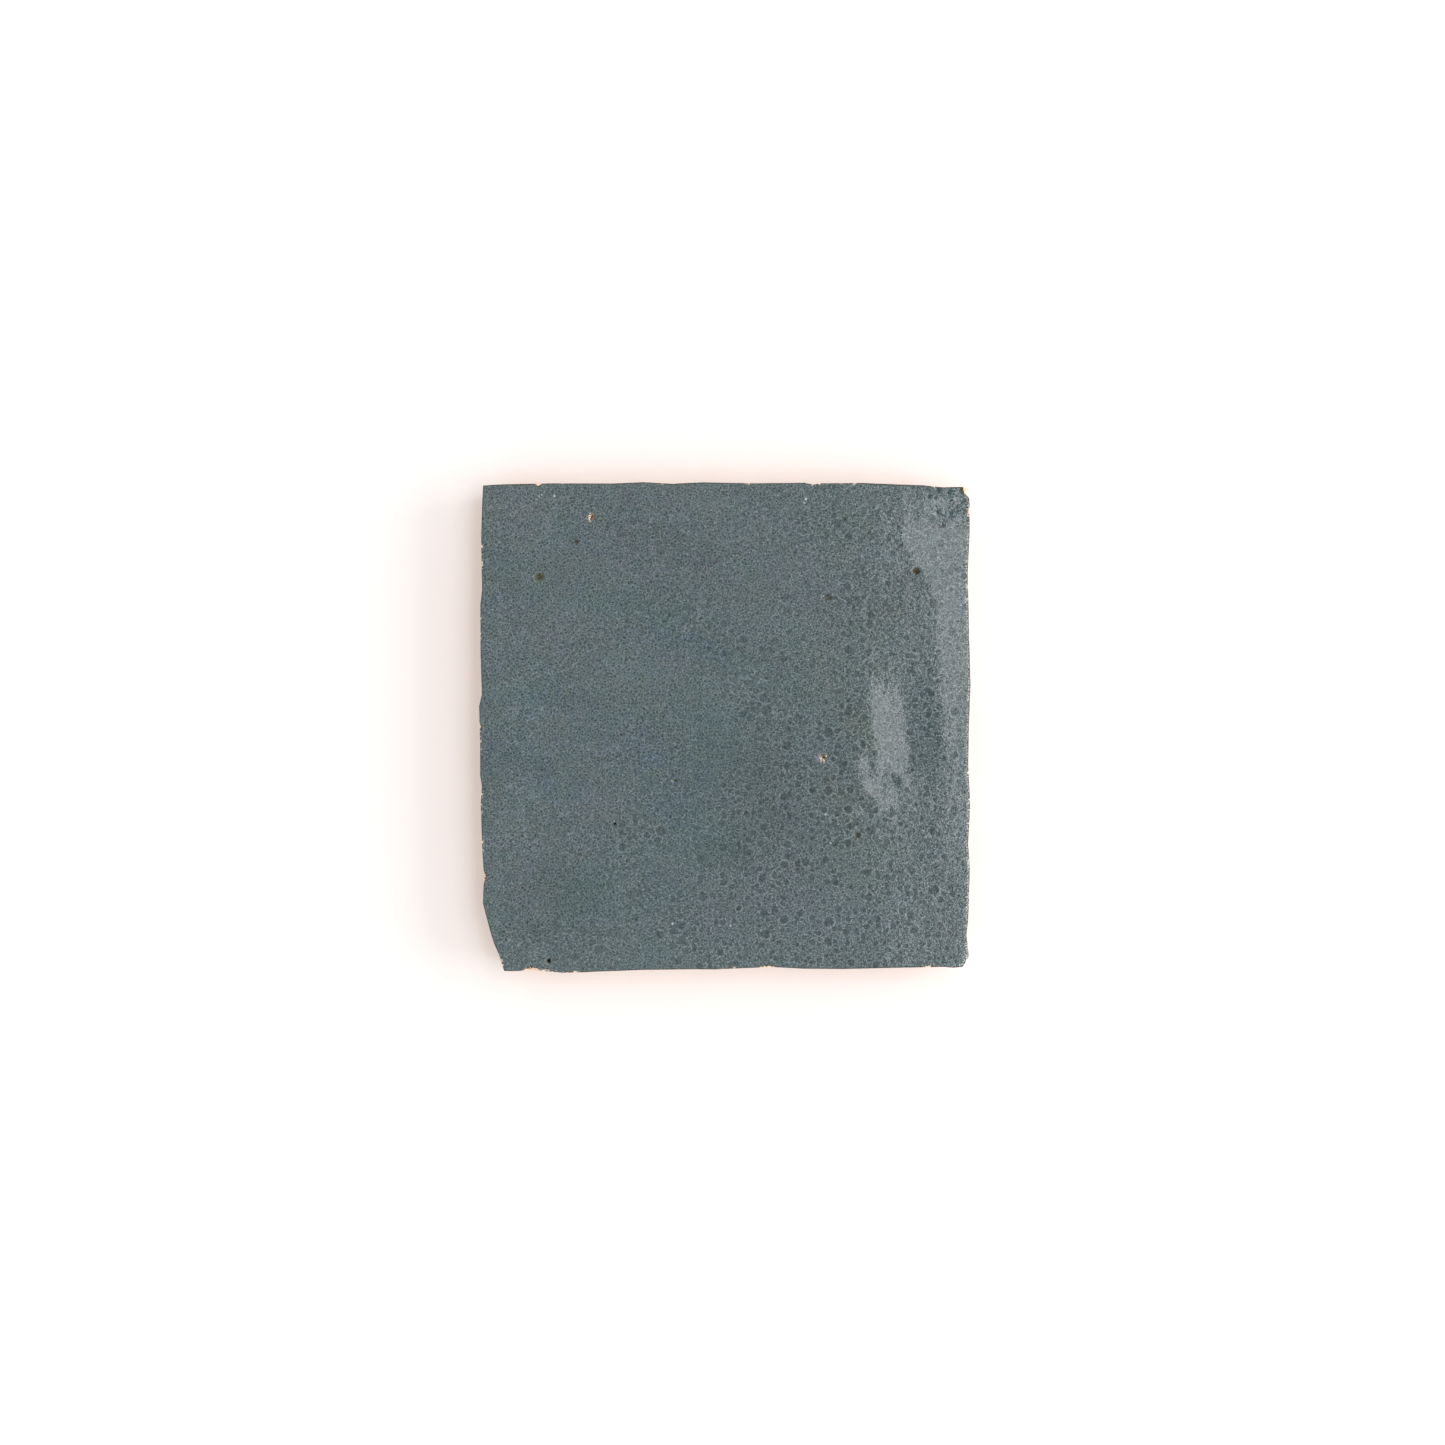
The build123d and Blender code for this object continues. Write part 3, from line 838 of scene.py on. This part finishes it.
def glazeMaterial():
    sheet = Sheet(bpy.data.materials.new("glaze"))
    place = sheet.scaled(sheet.add("ShaderNodeTexCoord", {}, {}, 3), 1 / mm)
    across, along = sheet.axis(place, 0), sheet.axis(place, 1)
    fall, lost, inside = [sheet.attribute(name) for name in ("fall", "lost", "inside")]
    toRight = sheet.rise(across, *zones["lively"])
    bruised = sheet.rise(across, *zones["bruised"]) * sheet.rise(0 - along, *zones["bruisedFrom"])
    bruised = bruised * (1 - sheet.rise(0 - along, *zones["bruisedTo"]))
    tone, coarse = bubbles(sheet, place, across, along)
    flaked = sheet.rise(lost, *clay["flakeEdge"])
    bare = bareClay(sheet, place, fall, lost, flaked * (1 - bruised))
    chipped = rimChips(sheet, place, inside)
    crumbs = crumbShare(sheet, place, across, inside, bruised)
    print("glaze masks made")

    colour = glazeColour(sheet, place, tone, coarse)
    # painted shade: a dark line along the rim and round the flakes
    rimShade = (1 - sheet.rise(inside, *glaze["rimShadeTo"])).most(flaked)
    rimShade = rimShade * (1 - sheet.rise(fall, *glaze["rimShadeDown"]) * 0.75)
    colour = sheet.blend(rimShade, colour, glaze["edge"])
    colour = sheet.blend(chipped, colour, clay["pale"])
    # painted glints: pale specks towards the right side that stand for sparkles of light
    paintedGlints = sheet.rise(sheet.grain(place, 0.24, 0.0), 0.72, 0.80) * toRight * (1 - coarse * 0.3)
    colour = sheet.blend(paintedGlints * 0.8, colour, glaze["paintedGlint"])
    # pale crumbs and rim flecks: partly chipped glaze, partly painted glints
    colour = sheet.blend(crumbs, colour, glaze["crumbs"])
    colour = sheet.blend(bare, colour, clayColour(sheet, place))

    peel = peelRelief(sheet, place, coarse, toRight)
    height = (1 - bare) * (peel + tone * glaze["net"] - chipped * 0.05)
    height = height + bare * sheet.grain(place, 0.5, 4.0, 0.6) * clay["bump"]
    normal = sheet.add("ShaderNodeBump", {}, {"Strength": 1.0, "Distance": mm, "Height": height})
    matt = sheet.rise(sheet.grain(place, 0.40, 1.0), 0.42, 0.62) * glaze["matt"]
    dull = bare.most(chipped).most(crumbs * 0.7).most(pinprickShare(sheet, place, across, along))
    dull = dull.most(sheet.attribute("spotDull"))
    glossy = sheet.add("ShaderNodeBsdfPrincipled", {}, {
        "Base Color": colour, "Roughness": matt + glaze["rough"], "IOR": 1.5, "Normal": normal})
    rough = sheet.add("ShaderNodeBsdfPrincipled", {}, {
        "Base Color": colour, "Roughness": 1.0, "Specular IOR Level": 0.0, "Normal": normal})
    surface = sheet.add("ShaderNodeMixShader", {}, {0: dull, 1: glossy, 2: rough})
    sheet.add("ShaderNodeOutputMaterial", {}, {"Surface": surface})
    return sheet.owner


# Floor and light

studio = {
    "floor": (0.81, 0.766, 0.744),
    "floorReach": 20.0,  # metres from its middle to its edge
    "panel": (1.0, 0.965, 1.0),
    "dome": 1.05,  # brightness of the sky dome
    "overhead": 0.5,  # darker straight above, where the camera hangs
    "overheadReach": (0.90, 0.985),  # height on the dome where it darkens
}

# Soft lights on the right: degrees from straight up, distance, size and place along Y in metres, brightness
softboxes = [
    {"name": "near_panel", "zenith": 13.0, "far": 3.0,
     "across": 0.52, "along": 2.1, "shift": -0.03, "bright": 4.3},
    {"name": "far_panel", "zenith": 24.6, "far": 3.0,
     "across": 0.68, "along": 2.1, "shift": -0.03, "bright": 1.9},
    {"name": "low_window", "zenith": 62.0, "far": 1.5,
     "across": 0.8, "along": 1.2, "shift": 0.0, "bright": 4.4},
]


def makeFloor():
    bm = bmesh.new()
    bmesh.ops.create_grid(bm, x_segments=1, y_segments=1, size=studio["floorReach"])
    mesh = bpy.data.meshes.new("floor")
    bm.to_mesh(mesh)
    bm.free()
    floor = bpy.data.objects.new("floor", mesh)
    bpy.context.scene.collection.objects.link(floor)
    sheet = Sheet(bpy.data.materials.new("floor"))
    surface = sheet.add("ShaderNodeBsdfDiffuse", {}, {"Color": studio["floor"]})
    sheet.add("ShaderNodeOutputMaterial", {}, {"Surface": surface})
    mesh.materials.append(sheet.owner)


def makeLights():
    world = bpy.data.worlds.new("dome")
    sheet = Sheet(world)
    up = sheet.axis(sheet.add("ShaderNodeTexCoord", {}, {}, 0), 2)
    above = sheet.rise(up, *studio["overheadReach"])
    bright = studio["dome"] + above * (studio["overhead"] - studio["dome"])
    sky = sheet.add("ShaderNodeBackground", {}, {"Color": (1.0, 1.0, 1.0), "Strength": bright})
    sheet.add("ShaderNodeOutputWorld", {}, {"Surface": sky})
    bpy.context.scene.world = world
    for box in softboxes:
        data = bpy.data.lights.new(box["name"], "AREA")
        data.shape = "RECTANGLE"
        data.size = box["across"]
        data.size_y = box["along"]
        data.energy = box["bright"] * pi * box["across"] * box["along"]
        data.color = studio["panel"]
        light = bpy.data.objects.new(box["name"], data)
        zenith = radians(box["zenith"])
        light.rotation_euler = (0, zenith, 0)
        light.location = Vector((sin(zenith), 0, cos(zenith))) * box["far"] + Vector((0, box["shift"], 0))
        light.visible_camera = False
        bpy.context.scene.collection.objects.link(light)
    print("studio made")


makeCamera()
piece = makeTile()
piece.data.materials.append(glazeMaterial())
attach(piece, "root")
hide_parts("zellige_tile")
makeFloor()
makeLights()
bpy.context.scene.view_settings.view_transform = "Standard"
